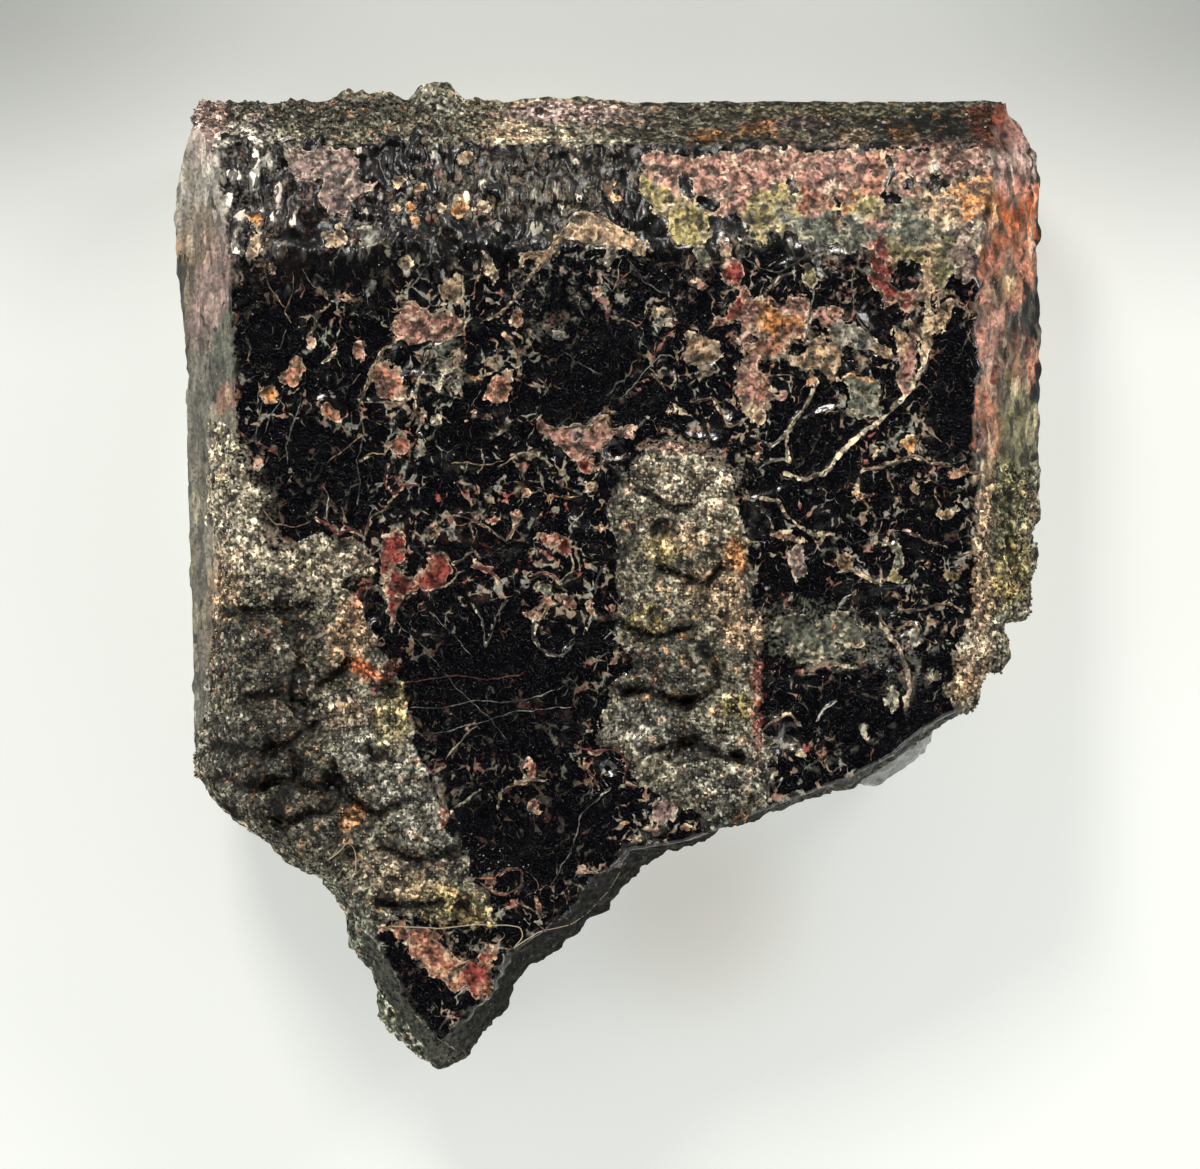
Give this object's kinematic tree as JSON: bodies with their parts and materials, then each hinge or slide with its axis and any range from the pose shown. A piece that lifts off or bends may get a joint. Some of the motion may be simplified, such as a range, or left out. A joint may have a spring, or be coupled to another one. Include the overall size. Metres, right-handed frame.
{
  "type": "allanite crystal specimen",
  "caption": "Thick tabular black crystal with bevelled growth faces, rough crusts and ridges on its front, a conchoidal fracture at its lower end and a flat back to lie on.",
  "frame": {"origin": "centre of the crystal's box, on the plane of its flat back face", "axes": "+Z out of the large front face, +Y towards the whole end of the crystal, -Y towards the broken tip, +X to the right as seen from the front"},
  "size_m": [0.0242, 0.0278, 0.0087],
  "materials": {
    "allanite": "pitchy black crystal with tan, pink and grey alteration crust",
    "quartz": "clear grey fracture splinter"
  },
  "bodies": {
    "root": {"allanite_crystal": "allanite", "quartz_chip": "quartz"}
  },
  "joints": []
}
